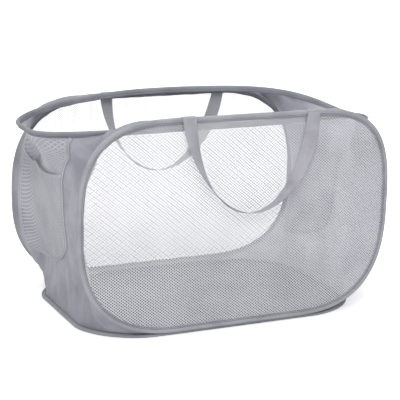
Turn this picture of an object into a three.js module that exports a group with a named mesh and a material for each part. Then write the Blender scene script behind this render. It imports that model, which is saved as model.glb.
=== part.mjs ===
// Pop up laundry hamper: four spring wire hoops in sewn bindings, two net sides, a solid
// floor, two solid end panels with outside pockets, and two webbing handles.
// Millimetres, +Z up. The front faces -Y and the long way is X. The origin is on the
// floor under the middle.

import * as THREE from 'three';

// Front and back hoops, which stand upright
const hoopLength = 610;
const hoopSpacing = 376;
const hoopCornerShare = 0.626;
const hoopCornerPower = 2.6;
const frontTopCornerPower = 3.1;
const frontHoopTop = 388;
const frontBow = 12;
const backBow = 6;

// Top ring, whose ends droop. The right end droops more, and closer to its tip.
const ringLength = 684;
const ringDrop = 17;
const leftSag = 22;
const leftSagPower = 2;
const rightSag = 38;
const rightSagPower = 5;
const ringCornerLengthShare = 0.98;
const ringCornerWidthShare = 0.848;
const ringCornerPower = 1.9;

// Bottom ring, flat on the floor
const baseLength = 552;
const baseCornerLengthShare = 0.42;
const baseCornerWidthShare = 0.55;
const baseCornerPower = 1.8;

// Spring wire and the crimped sleeve that joins its two ends
const wireRadius = 1.3;
const wireSides = 5;
const sleeveBore = 1.5;
const sleeveRadius = 2;
const sleeveLength = 24;
const sleeveSides = 8;
const wireEndGap = 0.6;

// Binding tape folded round the wire, and the gaps that sewn pieces keep
const channelReach = 2.3;
const tapeWall = 0.75;
const tapeWidth = 12;
const slotHalf = 0.8;
const flangeWall = 1.2;
const seamGap = 0.3;
const tapeReach = channelReach + tapeWall;
const legTip = tapeReach - tapeWidth;
const shoulderShare = 0.6;
const bluntShare = 0.4;
const shoulder = channelReach * shoulderShare;

// Sheets held in the slots between the tape's two legs
const netThickness = 1;
const floorThickness = 1;
const edgeDepth = 5;

// Diamond openings of the two net sides
const netPitch = 46;
const netCord = 5.5;
const netBorder = 9;

// End panels
const panelThickness = 0.8;
const panelAcross = 14;
const panelUp = 12;
const topCuspReach = 115;
const baseCuspReach = 150;
const relaxSteps = 600;

// Pockets on the outside of the end panels
const pocketThickness = 0.8;
const pocketStand = 0.9;
const pocketBulge = 11;
const pocketAcross = 12;
const pocketUp = 6;
const trimWidth = 8;
const trimThickness = 0.8;

// Webbing handles and the ends of the webbing, turned over the hoops
const handleSpread = 241;
const handleShift = 11;
const handleDrop = 176;
const webbingWidth = 25;
const webbingThickness = 1.2;
const handleLean = 3;
const flatStart = 10;
const handleTwistDegrees = 104;
const legTaper = 14;
const handleSteps = 26;
const tabReach = 5;

// Facets
const cornerSteps = 12;
const runStep = 62;

// Levels and places that follow from the sizes above
const hoopHalfLength = hoopLength / 2 - tapeReach;
const footLevel = 2 * tapeReach + seamGap;
const ringHeight = frontHoopTop - ringDrop;
const backHoopTop = ringHeight - tapeReach - seamGap;
const ringHalfWidth = hoopSpacing / 2 - 2 * tapeReach - seamGap;
const ringHalfLength = ringLength / 2 - tapeReach;
const baseHalfLength = baseLength / 2 - tapeReach;

const up = new THREE.Vector3(0, 0, 1);

// Outlines. A loop is a rounded rectangle with superelliptic corners, counter clockwise.

function cornerPoints({ halfLength, halfWidth, lengthShare, widthShare, power }) {
  const points = [];
  const cornerLength = halfLength * lengthShare;
  const cornerWidth = halfWidth * widthShare;
  for (let i = 0; i <= cornerSteps; i += 1) {
    const angle = (i / cornerSteps) * (Math.PI / 2);
    const along = Math.max(Math.cos(angle), 0) ** (2 / power);
    const across = Math.max(Math.sin(angle), 0) ** (2 / power);
    points.push(new THREE.Vector2(
      halfLength + cornerLength * (along - 1),
      halfWidth + cornerWidth * (across - 1),
    ));
  }
  return points;
}

function splitLongRuns(points) {
  const split = [];
  points.forEach((point, i) => {
    const next = points[(i + 1) % points.length];
    const count = Math.max(1, Math.ceil(point.distanceTo(next) / runStep));
    for (let k = 0; k < count; k += 1) {
      split.push(point.clone().lerp(next, k / count));
    }
  });
  return split;
}

function loopOutline(shape) {
  const upper = cornerPoints({ ...shape, power: shape.upperPower ?? shape.power });
  const lower = cornerPoints(shape);
  const flipped = (corner, sx, sy) => corner.map((p) => new THREE.Vector2(sx * p.x, sy * p.y));
  const points = [
    ...flipped(upper, 1, 1),
    ...flipped(upper, -1, 1).reverse(),
    ...flipped(lower, -1, -1),
    ...flipped(lower, 1, -1).reverse(),
  ];
  const apart = points.filter((p, i) => {
    const next = points[(i + 1) % points.length];
    return p.distanceTo(next) > wireRadius;
  });
  return splitLongRuns(apart);
}

function outwardNormals(outline) {
  return outline.map((point, i) => {
    const before = outline[(i + outline.length - 1) % outline.length];
    const after = outline[(i + 1) % outline.length];
    const inward = point.clone().sub(before).normalize();
    const onward = after.clone().sub(point).normalize();
    const along = inward.add(onward).normalize();
    return new THREE.Vector2(along.y, -along.x);
  });
}

function offsetOutline(outline, distance) {
  const normals = outwardNormals(outline);
  return outline.map((p, i) => p.clone().addScaledVector(normals[i], distance));
}

// Sheets. A sheet places the outline's two coordinates in space and has a normal there.

function hoopSheet({ side, bow, top, upperPower }) {
  const cornerLength = hoopHalfLength * hoopCornerShare;
  const middle = (top + footLevel) / 2;
  const straight = hoopHalfLength - cornerLength;
  const bend = (x) => Math.max(Math.abs(x) - straight, 0) / cornerLength;
  return {
    side,
    outline: loopOutline({
      halfLength: hoopHalfLength,
      halfWidth: (top - footLevel) / 2 - tapeReach,
      lengthShare: hoopCornerShare,
      widthShare: 1,
      power: hoopCornerPower,
      upperPower,
    }),
    place(x, height) {
      return new THREE.Vector3(x, side * (hoopSpacing / 2 - bow * bend(x) ** 2), middle + height);
    },
    normal(x) {
      const slope = (-side * Math.sign(x) * 2 * bow * bend(x)) / cornerLength;
      return new THREE.Vector3(slope, -1, 0).normalize();
    },
  };
}

function ringSheet() {
  const sag = (x) => (x > 0 ? rightSag : leftSag);
  const power = (x) => (x > 0 ? rightSagPower : leftSagPower);
  const reach = (x) => Math.abs(x) / ringHalfLength;
  return {
    outline: loopOutline({
      halfLength: ringHalfLength,
      halfWidth: ringHalfWidth,
      lengthShare: ringCornerLengthShare,
      widthShare: ringCornerWidthShare,
      power: ringCornerPower,
    }),
    place(x, y) {
      return new THREE.Vector3(x, y, ringHeight - sag(x) * reach(x) ** power(x));
    },
    normal(x) {
      const steep = (sag(x) * power(x) * reach(x) ** (power(x) - 1)) / ringHalfLength;
      return new THREE.Vector3(Math.sign(x) * steep, 0, 1).normalize();
    },
  };
}

function baseSheet() {
  return {
    outline: loopOutline({
      halfLength: baseHalfLength,
      halfWidth: ringHalfWidth,
      lengthShare: baseCornerLengthShare,
      widthShare: baseCornerWidthShare,
      power: baseCornerPower,
    }),
    place: (x, y) => new THREE.Vector3(x, y, tapeReach),
    normal: () => up.clone(),
  };
}

// Frames along a loop: the point, the way out of the loop and the sheet's normal

function frameAt(sheet, flat, before, after) {
  const point = sheet.place(flat.x, flat.y);
  const back = point.clone().sub(before).normalize();
  const ahead = after.clone().sub(point).normalize();
  const along = back.add(ahead).normalize();
  const across = sheet.normal(flat.x, flat.y);
  across.addScaledVector(along, -across.dot(along)).normalize();
  return { point, out: along.clone().cross(across), across, along };
}

function loopFrames(sheet) {
  const flat = sheet.outline;
  const points = flat.map((p) => sheet.place(p.x, p.y));
  return flat.map((p, i) => {
    const before = points[(i + flat.length - 1) % flat.length];
    const after = points[(i + 1) % flat.length];
    return frameAt(sheet, p, before, after);
  });
}

function mirroredFrame(frame) {
  const flip = (v) => new THREE.Vector3(-v.x, v.y, v.z);
  return { point: flip(frame.point), out: flip(frame.out), across: flip(frame.across) };
}

function blendFrames(a, b, share) {
  const mix = (key) => a[key].clone().lerp(b[key], share);
  return {
    point: mix('point'),
    out: mix('out').normalize(),
    across: mix('across').normalize(),
    along: mix('along').normalize(),
  };
}

function onFrame(frame, out, across) {
  return frame.point.clone()
    .addScaledVector(frame.out, out)
    .addScaledVector(frame.across, across);
}

// Closed solids from points and faces

function signedVolume(points, faces) {
  let volume = 0;
  faces.forEach(([a, b, c]) => {
    volume += points[a].dot(points[b].clone().cross(points[c])) / 6;
  });
  return volume;
}

function solidFrom(points, faces) {
  const flip = signedVolume(points, faces) < 0;
  const geometry = new THREE.BufferGeometry();
  const positions = new Float32Array(points.length * 3);
  points.forEach((p, i) => p.toArray(positions, i * 3));
  geometry.setAttribute('position', new THREE.BufferAttribute(positions, 3));
  geometry.setIndex(faces.flatMap(([a, b, c]) => (flip ? [a, c, b] : [a, b, c])));
  geometry.computeVertexNormals();
  return geometry;
}

function bandFaces(rings, sides, closed) {
  const faces = [];
  const last = closed ? rings : rings - 1;
  for (let i = 0; i < last; i += 1) {
    const next = (i + 1) % rings;
    for (let k = 0; k < sides; k += 1) {
      const side = (k + 1) % sides;
      const [a, b] = [i * sides + k, i * sides + side];
      const [c, d] = [next * sides + side, next * sides + k];
      faces.push([a, b, c], [a, c, d]);
    }
  }
  return faces;
}

function sweptLoop(frames, section) {
  const points = frames.flatMap((f) => section.map((s) => onFrame(f, s.x, s.y)));
  return solidFrom(points, bandFaces(frames.length, section.length, true));
}

function sweptRun(frames, section) {
  const points = frames.flatMap((f) => section.map((s) => onFrame(f, s.x, s.y)));
  const faces = bandFaces(frames.length, section.length, false);
  const end = (frames.length - 1) * section.length;
  THREE.ShapeUtils.triangulateShape(section, []).forEach(([a, b, c]) => {
    faces.push(THREE.ShapeUtils.isClockWise(section) ? [a, b, c] : [c, b, a]);
    faces.push(THREE.ShapeUtils.isClockWise(section)
      ? [end + c, end + b, end + a]
      : [end + a, end + b, end + c]);
  });
  return solidFrom(points, faces);
}

// A sheet of cloth with its middle surface on a grid of points

function gridNormals(grid) {
  return grid.map((row, j) => row.map((_, i) => {
    const left = row[Math.max(i - 1, 0)];
    const right = row[Math.min(i + 1, row.length - 1)];
    const below = grid[Math.max(j - 1, 0)][i];
    const above = grid[Math.min(j + 1, grid.length - 1)][i];
    return right.clone().sub(left).cross(above.clone().sub(below)).normalize();
  }));
}

function gridRim(rows, columns) {
  const rim = [];
  for (let i = 0; i < columns - 1; i += 1) rim.push(i);
  for (let j = 0; j < rows - 1; j += 1) rim.push(j * columns + columns - 1);
  for (let i = columns - 1; i > 0; i -= 1) rim.push((rows - 1) * columns + i);
  for (let j = rows - 1; j > 0; j -= 1) rim.push(j * columns);
  return rim;
}

function clothSheet(grid, thickness) {
  const normals = gridNormals(grid);
  const [rows, columns] = [grid.length, grid[0].length];
  const count = rows * columns;
  const skin = (distance) => grid.flatMap((row, j) => row.map((p, i) => (
    p.clone().addScaledVector(normals[j][i], distance))));
  const points = [...skin(thickness / 2), ...skin(-thickness / 2)];
  const faces = [];
  for (let j = 0; j < rows - 1; j += 1) {
    for (let i = 0; i < columns - 1; i += 1) {
      const a = j * columns + i;
      const [b, c, d] = [a + 1, a + columns + 1, a + columns];
      faces.push([a, b, c], [a, c, d]);
      faces.push([count + a, count + c, count + b], [count + a, count + d, count + c]);
    }
  }
  const rim = gridRim(rows, columns);
  rim.forEach((a, i) => {
    const b = rim[(i + 1) % rim.length];
    faces.push([a, count + a, count + b], [a, count + b, b]);
  });
  return solidFrom(points, faces);
}

// A sheet held in a loop's slot: a border strip, then the field with its openings

function fieldOutline(outline) {
  return offsetOutline(outline, -edgeDepth - netBorder);
}

function panelInLoop(sheet, thickness, openings) {
  const rim = offsetOutline(sheet.outline, -edgeDepth);
  const field = fieldOutline(sheet.outline);
  const flat = [...rim, ...field, ...openings.flat()];
  const skin = bandFaces(2, rim.length, false);
  THREE.ShapeUtils.triangulateShape(field, openings).forEach((face) => {
    skin.push(face.map((i) => i + rim.length));
  });
  const faces = [];
  skin.forEach(([a, b, c]) => {
    const turn = flat[b].clone().sub(flat[a]).cross(flat[c].clone().sub(flat[a]));
    const [p, q] = turn > 0 ? [b, c] : [c, b];
    faces.push([a, p, q], [flat.length + a, flat.length + q, flat.length + p]);
  });
  const wall = (a, b) => {
    faces.push([a, flat.length + a, flat.length + b], [a, flat.length + b, b]);
  };
  rim.forEach((_, i) => wall(i, (i + 1) % rim.length));
  let start = rim.length + field.length;
  openings.forEach((points) => {
    points.forEach((_, i) => wall(start + ((i + 1) % points.length), start + i));
    start += points.length;
  });
  const raised = (distance) => flat.map((p) => (
    sheet.place(p.x, p.y).addScaledVector(sheet.normal(p.x, p.y), distance)));
  return solidFrom([...raised(thickness / 2), ...raised(-thickness / 2)], faces);
}

function insideOutline(outline, point) {
  let inside = false;
  outline.forEach((a, i) => {
    const b = outline[(i + 1) % outline.length];
    const crosses = (a.y > point.y) !== (b.y > point.y);
    const reach = ((b.x - a.x) * (point.y - a.y)) / (b.y - a.y) + a.x;
    if (crosses && point.x < reach) inside = !inside;
  });
  return inside;
}

function diamondOpenings(outline) {
  const field = offsetOutline(fieldOutline(outline), -netCord);
  const half = (netPitch - netCord * Math.SQRT2) / 2;
  const reach = Math.ceil(hoopLength / netPitch);
  const openings = [];
  for (let row = -reach; row <= reach; row += 1) {
    for (let column = -reach; column <= reach; column += 1) {
      const middle = new THREE.Vector2(
        (column + (row % 2) / 2) * netPitch,
        (row * netPitch) / 2,
      );
      const tips = [[half, 0], [0, half], [-half, 0], [0, -half]];
      const diamond = tips.map(([x, y]) => middle.clone().add(new THREE.Vector2(x, y)));
      if (diamond.every((p) => insideOutline(field, p))) openings.push(diamond);
    }
  }
  return openings;
}

// Sections of the binding, the sleeve and the wire, in the plane across a loop

const vec = (x, y) => new THREE.Vector2(x, y);

function bindingSection(flatRun) {
  const blunt = channelReach * bluntShare;
  const inner = [vec(legTip, slotHalf), vec(shoulder, channelReach), vec(channelReach, blunt)];
  const outer = [vec(legTip, slotHalf + flangeWall), vec(shoulder, tapeReach), vec(tapeReach, blunt)];
  if (flatRun > 0) outer.splice(1, 0, vec(shoulder - flatRun, tapeReach));
  const mirrored = (points) => points.map((p) => vec(p.x, -p.y)).reverse();
  return [...inner, ...mirrored(inner), ...mirrored(outer).reverse(), ...outer.reverse()];
}

function roundSection(radius, sides) {
  return Array.from({ length: sides }, (_, i) => {
    const angle = (i / sides) * 2 * Math.PI;
    return vec(radius * Math.cos(angle), radius * Math.sin(angle));
  });
}

// The wire is open: its two ends meet inside the sleeve, in the middle of the longest run

function longestRun(frames) {
  let best = 0;
  const length = (i) => frames[i].point.distanceTo(frames[(i + 1) % frames.length].point);
  frames.forEach((_, i) => {
    if (length(i) > length(best) + wireEndGap) best = i;
  });
  return best;
}

function runFrames(frames, from, to) {
  const start = longestRun(frames);
  const [a, b] = [frames[start], frames[(start + 1) % frames.length]];
  const length = a.point.distanceTo(b.point);
  const along = b.point.clone().sub(a.point).normalize();
  return [from, to].map((distance) => {
    const frame = blendFrames(a, b, 1 / 2 + distance / length);
    const across = frame.across.addScaledVector(along, -frame.across.dot(along)).normalize();
    return { point: frame.point, out: along.clone().cross(across), across, along };
  });
}

function wireSolid(frames) {
  const start = longestRun(frames);
  const [end, begin] = runFrames(frames, -wireEndGap / 2, wireEndGap / 2);
  const round = [...frames.slice(start + 1), ...frames.slice(0, start + 1)];
  return sweptRun([begin, ...round, end], roundSection(wireRadius, wireSides));
}

function sleeveSolid(frames) {
  const ends = runFrames(frames, -sleeveLength / 2, sleeveLength / 2);
  const outer = roundSection(sleeveRadius, sleeveSides);
  const inner = roundSection(sleeveBore, sleeveSides);
  const ring = (frame, section) => section.map((s) => onFrame(frame, s.x, s.y));
  const points = [
    ...ring(ends[0], outer), ...ring(ends[1], outer),
    ...ring(ends[1], inner), ...ring(ends[0], inner),
  ];
  return solidFrom(points, bandFaces(4, sleeveSides, true));
}

// End panels: a film drawn tight between the two hoops, the top ring and the bottom ring

function stretch(frames, keep, order, place) {
  return frames.filter(keep).sort(order).map(place);
}

function evenly(points, count) {
  const lengths = [0];
  points.slice(1).forEach((p, i) => lengths.push(lengths[i] + p.distanceTo(points[i])));
  const total = lengths[lengths.length - 1];
  return Array.from({ length: count + 1 }, (_, k) => {
    const wanted = (k / count) * total;
    let i = 1;
    while (i < points.length - 1 && lengths[i] < wanted) i += 1;
    const share = (wanted - lengths[i - 1]) / (lengths[i] - lengths[i - 1]);
    return points[i - 1].clone().lerp(points[i], share);
  });
}

function panelEdges(frames) {
  const gap = tapeReach + seamGap + panelThickness / 2;
  const frontToBack = (a, b) => a.point.y - b.point.y;
  const downward = (a, b) => b.point.z - a.point.z;
  const pastTop = (f) => f.point.x > topCuspReach;
  const pastBase = (f) => f.point.x > baseCuspReach;
  return {
    ring: stretch(frames.ring, pastTop, frontToBack, (f) => onFrame(f, shoulder, -gap)),
    base: stretch(frames.base, pastBase, frontToBack, (f) => onFrame(f, -edgeDepth, gap)),
    front: stretch(frames.front, pastTop, downward, (f) => onFrame(f, 0, -gap)),
    back: stretch(frames.back, pastTop, downward, (f) => onFrame(f, 0, gap)),
  };
}

function panelGrid(frames) {
  const edges = panelEdges(frames);
  const [last, middle] = [(list) => list[list.length - 1], (a, b) => a.clone().lerp(b, 1 / 2)];
  const corners = {
    topFront: middle(edges.ring[0], edges.front[0]),
    topBack: middle(last(edges.ring), edges.back[0]),
    baseFront: middle(edges.base[0], last(edges.front)),
    baseBack: middle(last(edges.base), last(edges.back)),
  };
  const closed = (from, list, to, count) => evenly([from, ...list.slice(1, -1), to], count);
  const top = closed(corners.topFront, edges.ring, corners.topBack, panelAcross);
  const bottom = closed(corners.baseFront, edges.base, corners.baseBack, panelAcross);
  const front = closed(corners.topFront, edges.front, corners.baseFront, panelUp).reverse();
  const back = closed(corners.topBack, edges.back, corners.baseBack, panelUp).reverse();
  const grid = front.map((start, j) => top.map((_, i) => {
    if (j === 0) return bottom[i];
    if (j === panelUp) return top[i];
    return start.clone().lerp(back[j], i / panelAcross);
  }));
  relax(grid);
  return grid;
}

function relax(grid) {
  for (let pass = 0; pass < relaxSteps; pass += 1) {
    for (let j = 1; j < grid.length - 1; j += 1) {
      for (let i = 1; i < grid[0].length - 1; i += 1) {
        const sum = grid[j - 1][i].clone().add(grid[j + 1][i]);
        sum.add(grid[j][i - 1]).add(grid[j][i + 1]);
        grid[j][i].copy(sum.divideScalar(4));
      }
    }
  }
}

// Pockets follow the end panel: across is 0 at the front and 1 at the back, rise is 0 at
// the bottom and 1 at the top

function surfacePoint(grid, normals, across, rise, distance) {
  const [x, y] = [across * (grid[0].length - 1), rise * (grid.length - 1)];
  const i = Math.min(Math.floor(x), grid[0].length - 2);
  const j = Math.min(Math.floor(y), grid.length - 2);
  const [s, t] = [x - i, y - j];
  const mix = (list) => {
    const turn = s > t ? list[j][i + 1] : list[j + 1][i];
    const [start, end] = [list[j][i], list[j + 1][i + 1]];
    const [first, second] = s > t ? [s, t] : [t, s];
    return start.clone()
      .addScaledVector(turn.clone().sub(start), first)
      .addScaledVector(end.clone().sub(turn), second);
  };
  return mix(grid).addScaledVector(mix(normals).normalize(), distance);
}

const pocketFrontShare = 0.42;
const pocketLeanShare = 0.1;
const pocketBackShare = 0.93;
const mouthShares = [0.93, 0.81, 0.75, 0.71, 0.67, 0.65, 0.66];
const bottomShares = [0.36, 0.28, 0.24, 0.23, 0.24, 0.27, 0.34];

function alongShares(shares, share) {
  const place = share * (shares.length - 1);
  const i = Math.min(Math.floor(place), shares.length - 2);
  return THREE.MathUtils.lerp(shares[i], shares[i + 1], place - i);
}

function pocketAcrossShare(share, rise) {
  return THREE.MathUtils.lerp(pocketFrontShare - pocketLeanShare * rise, pocketBackShare, share);
}

function pocketGrid(grid) {
  const normals = gridNormals(grid);
  const rest = panelThickness / 2 + pocketStand + pocketThickness / 2;
  const rows = [];
  for (let j = 0; j <= pocketUp; j += 1) {
    rows.push([]);
    for (let i = 0; i <= pocketAcross; i += 1) {
      const [share, rise] = [i / pocketAcross, j / pocketUp];
      const [bottom, mouth] = [alongShares(bottomShares, share), alongShares(mouthShares, share)];
      const level = THREE.MathUtils.lerp(bottom, mouth, rise);
      const full = Math.sin(share * Math.PI) * Math.sin((rise * Math.PI) / 2);
      const distance = rest + pocketBulge * full;
      const across = pocketAcrossShare(share, rise);
      rows[j].push(surfacePoint(grid, normals, across, level, distance));
    }
  }
  return rows;
}

function trimGrid(pocket) {
  const normals = gridNormals(pocket);
  const lift = pocketThickness / 2 + pocketStand + trimThickness / 2;
  const [top, below] = [pocket[pocketUp], pocket[pocketUp - 1]];
  const edge = top.map((p, i) => p.clone().addScaledVector(normals[pocketUp][i], lift));
  const lower = top.map((p, i) => {
    const down = below[i].clone().sub(p).normalize();
    return p.clone().addScaledVector(down, trimWidth).addScaledVector(normals[pocketUp][i], lift);
  });
  return [lower, edge];
}

// Handles: a loop of webbing whose faces turn from flat against the net to level below

function handleCentre(share) {
  const angle = share * Math.PI;
  const depth = Math.sin(angle);
  const lean = legTaper * (1 - depth) * Math.sign(Math.cos(angle));
  const x = -Math.cos(angle) * (handleSpread / 2 - legTaper) - lean;
  return new THREE.Vector2(x, -handleDrop * depth);
}

function handleFrames(sheet, top) {
  const level = top - tapeReach;
  const away = new THREE.Vector3(0, sheet.side, 0);
  const twist = THREE.MathUtils.degToRad(handleTwistDegrees);
  const axis = tapeReach + 2 * seamGap + 1.5 * webbingThickness;
  const centres = [];
  for (let i = 0; i <= handleSteps; i += 1) centres.push(handleCentre(i / handleSteps));
  return centres.map((centre, i) => {
    const before = centres[Math.max(i - 1, 0)];
    const after = centres[Math.min(i + 1, handleSteps)];
    const along = after.clone().sub(before).normalize();
    if (i === 0) along.set(0, -1);
    if (i === handleSteps) along.set(0, 1);
    const turn = twist * Math.max(-centre.y - flatStart, 0) / (handleDrop - flatStart);
    const stand = axis + (webbingWidth / 2 - handleLean) * Math.sin(turn);
    const inPlane = new THREE.Vector3(-along.y, 0, along.x);
    const out = inPlane.clone().multiplyScalar(Math.cos(turn)).addScaledVector(away, -Math.sin(turn));
    const point = new THREE.Vector3(centre.x + handleShift, 0, level + centre.y);
    point.y = sheet.side * (hoopSpacing / 2 + stand);
    return { point, out };
  });
}

function handleSolid(sheet, top) {
  const strip = handleFrames(sheet, top);
  const row = (reach) => strip.map((f) => f.point.clone().addScaledVector(f.out, reach));
  return clothSheet([row(-webbingWidth / 2), row(0), row(webbingWidth / 2)], webbingThickness);
}

function topRunFrames(frames, from, to) {
  const top = frames.filter((f) => f.out.z > Math.SQRT1_2).sort((a, b) => a.point.x - b.point.x);
  const at = (x) => {
    const i = top.findIndex((f) => f.point.x > x);
    const [a, b] = [top[i - 1], top[i]];
    return blendFrames(a, b, (x - a.point.x) / (b.point.x - a.point.x));
  };
  const between = top.filter((f) => f.point.x > from && f.point.x < to);
  return [at(from), ...between, at(to)];
}

function tabSolid(frames, sign) {
  const middle = handleShift + (sign * handleSpread) / 2;
  const inner = tapeReach + seamGap;
  const outer = inner + webbingThickness;
  const hairpin = (reach, nose) => [
    vec(-tabReach, reach), vec(nose / 2, reach), vec(nose, nose / 3),
    vec(nose, -nose / 3), vec(nose / 2, -reach), vec(-tabReach, -reach),
  ];
  const section = [...hairpin(outer, outer), ...hairpin(inner, inner).reverse()];
  const half = webbingWidth / 2;
  return sweptRun(topRunFrames(frames, middle - half, middle + half), section);
}

// Materials

function cloth(color, roughness) {
  return new THREE.MeshStandardMaterial({ color, roughness, metalness: 0 });
}

const materials = {
  binding: () => cloth(0xadaeb5, 0.85),
  net: () => cloth(0xd6d6dc, 0.8),
  nylon: () => cloth(0xb4b4bd, 0.75),
  webbing: () => cloth(0xb1b0b8, 0.8),
  wire: () => new THREE.MeshStandardMaterial({ color: 0x8b8d90, roughness: 0.35, metalness: 1 }),
  sleeve: () => new THREE.MeshStandardMaterial({ color: 0xa3a5a8, roughness: 0.4, metalness: 1 }),
};

// Assembly

const hamper = new THREE.Group();

function add(name, geometry, material) {
  const mesh = new THREE.Mesh(geometry, material());
  mesh.name = name;
  hamper.add(mesh);
  return mesh;
}

function addHoop(name, frames, flatRun) {
  add(`${name}_wire`, wireSolid(frames), materials.wire);
  add(`${name}_ferrule`, sleeveSolid(frames), materials.sleeve);
  add(`${name}_binding`, sweptLoop(frames, bindingSection(flatRun)), materials.binding);
}

const sheets = {
  front: hoopSheet({ side: -1, bow: frontBow, top: frontHoopTop, upperPower: frontTopCornerPower }),
  back: hoopSheet({ side: 1, bow: backBow, top: backHoopTop, upperPower: hoopCornerPower }),
  ring: ringSheet(),
  base: baseSheet(),
};
const frames = {
  front: loopFrames(sheets.front),
  back: loopFrames(sheets.back),
  ring: loopFrames(sheets.ring),
  base: loopFrames(sheets.base),
};

addHoop('front_hoop', frames.front, 0);
addHoop('back_hoop', frames.back, 0);
addHoop('top_ring', frames.ring, 0);
addHoop('bottom_ring', frames.base, edgeDepth);

const frontOpenings = diamondOpenings(sheets.front.outline);
const backOpenings = diamondOpenings(sheets.back.outline);
add('front_net', panelInLoop(sheets.front, netThickness, frontOpenings), materials.net);
add('back_net', panelInLoop(sheets.back, netThickness, backOpenings), materials.net);
add('floor_panel', panelInLoop(sheets.base, floorThickness, []), materials.nylon);

const mirrored = Object.fromEntries(
  Object.entries(frames).map(([name, list]) => [name, list.map(mirroredFrame)]),
);

function addEnd(name, half) {
  const grid = panelGrid(half > 0 ? frames : mirrored);
  const pocket = pocketGrid(grid);
  const pieces = [
    add(`${name}_end_panel`, clothSheet(grid, panelThickness), materials.nylon),
    add(`${name}_pocket`, clothSheet(pocket, pocketThickness), materials.net),
    add(`${name}_pocket_trim`, clothSheet(trimGrid(pocket), trimThickness), materials.binding),
  ];
  pieces.forEach((mesh) => {
    mesh.geometry.scale(half, 1, 1);
    if (half < 0) mesh.geometry.index.array.reverse();
  });
}

addEnd('right', 1);
addEnd('left', -1);

function addHandle(name, sheet, loop, top) {
  add(`${name}_handle`, handleSolid(sheet, top), materials.webbing);
  add(`${name}_left_handle_tab`, tabSolid(loop, -1), materials.webbing);
  add(`${name}_right_handle_tab`, tabSolid(loop, 1), materials.webbing);
}

addHandle('front', sheets.front, frames.front, frontHoopTop);
addHandle('back', sheets.back, frames.back, backHoopTop);

export default hamper;
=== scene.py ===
"""Looks of the pop up laundry hamper: folded bindings, net sides, nylon ends and floor, handles.

Lengths are in millimetres until a mesh is made, and in metres from there on. The front faces -Y.
"""

import math

import bpy
import numpy as np
from mathutils import Matrix, Vector


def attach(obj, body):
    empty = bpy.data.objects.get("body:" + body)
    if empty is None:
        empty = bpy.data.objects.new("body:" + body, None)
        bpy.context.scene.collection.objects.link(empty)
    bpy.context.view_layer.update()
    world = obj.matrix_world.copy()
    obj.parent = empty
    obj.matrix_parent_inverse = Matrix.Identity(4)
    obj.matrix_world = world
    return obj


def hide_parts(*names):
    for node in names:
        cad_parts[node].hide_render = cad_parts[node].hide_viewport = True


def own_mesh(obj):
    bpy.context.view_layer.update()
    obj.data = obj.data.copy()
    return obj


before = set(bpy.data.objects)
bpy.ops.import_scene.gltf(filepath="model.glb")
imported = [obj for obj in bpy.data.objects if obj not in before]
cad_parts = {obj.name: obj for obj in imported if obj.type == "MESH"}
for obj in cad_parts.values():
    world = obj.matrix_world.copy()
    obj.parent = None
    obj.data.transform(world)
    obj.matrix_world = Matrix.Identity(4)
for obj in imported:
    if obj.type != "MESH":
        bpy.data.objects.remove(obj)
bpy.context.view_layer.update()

scene = bpy.context.scene
MM = 0.001

# Sizes that the CAD part has too

hoop_length, hoop_spacing = 610, 376
hoop_corner_share, hoop_corner_power, front_top_corner_power = 0.626, 2.6, 3.1
front_hoop_top, front_bow, back_bow = 388, 12, 6
ring_length, ring_height = 684, 371
ring_sags, ring_sag_powers = (22, 38), (2, 5)
ring_length_share, ring_width_share, ring_corner_power = 0.98, 0.848, 1.9
base_length, base_length_share, base_width_share, base_corner_power = 552, 0.42, 0.55, 1.8
tape_width, tape_reach, channel_reach, seam_gap = 12, 3.05, 2.3, 0.3
panel_thickness = 0.8
handle_spread, handle_shift, handle_twist = 241, 11, math.radians(104)
handle_lean, flat_start, leg_taper = 3, 10, 14
webbing_width, webbing_thickness = 25, 1.2

hoop_half_length = hoop_length / 2 - tape_reach
foot_level = 2 * tape_reach + seam_gap
back_hoop_top = ring_height - tape_reach - seam_gap
ring_half_width = hoop_spacing / 2 - 2 * tape_reach - seam_gap
ring_half_length = ring_length / 2 - tape_reach
base_half_length = base_length / 2 - tape_reach

# Sizes of the scene alone, read from the photograph

ring_draw_in, ring_tape_tilt = 6, math.radians(68)
handle_hangs = {-1: 171, 1: 162}
top_cusp_reach, base_cusp_reach = 40, 122
panel_belly, dent_depth = 24, 9
mouth_shares = [0.72, 0.71, 0.695, 0.67, 0.63, 0.59, 0.6]
bottom_shares = [0.32, 0.25, 0.215, 0.2, 0.2, 0.22, 0.28]
pocket_front_shares = (0.42, 0.415, 0.41, 0.385, 0.34)
pocket_front_levels = (0.2, 0.4, 0.66, 0.83, 1.0)
pocket_back_share, pocket_top_share, pocket_rear_drop = 0.965, 0.985, 0.22


def add_object(name, data):
    made = bpy.data.objects.new(name, data)
    scene.collection.objects.link(made)
    return made


# Camera at the photograph's place: angles in degrees, distances in metres, the picture in pixels

camera_angles = (25.48, 14.405, 1.522)
camera_distance, camera_target = 2.538563, Vector((0, 0, 0.18))
photo_size, photo_focal, photo_middle = 400, 1350.298, (197.03, 204.904)
sensor_mm = 36


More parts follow.
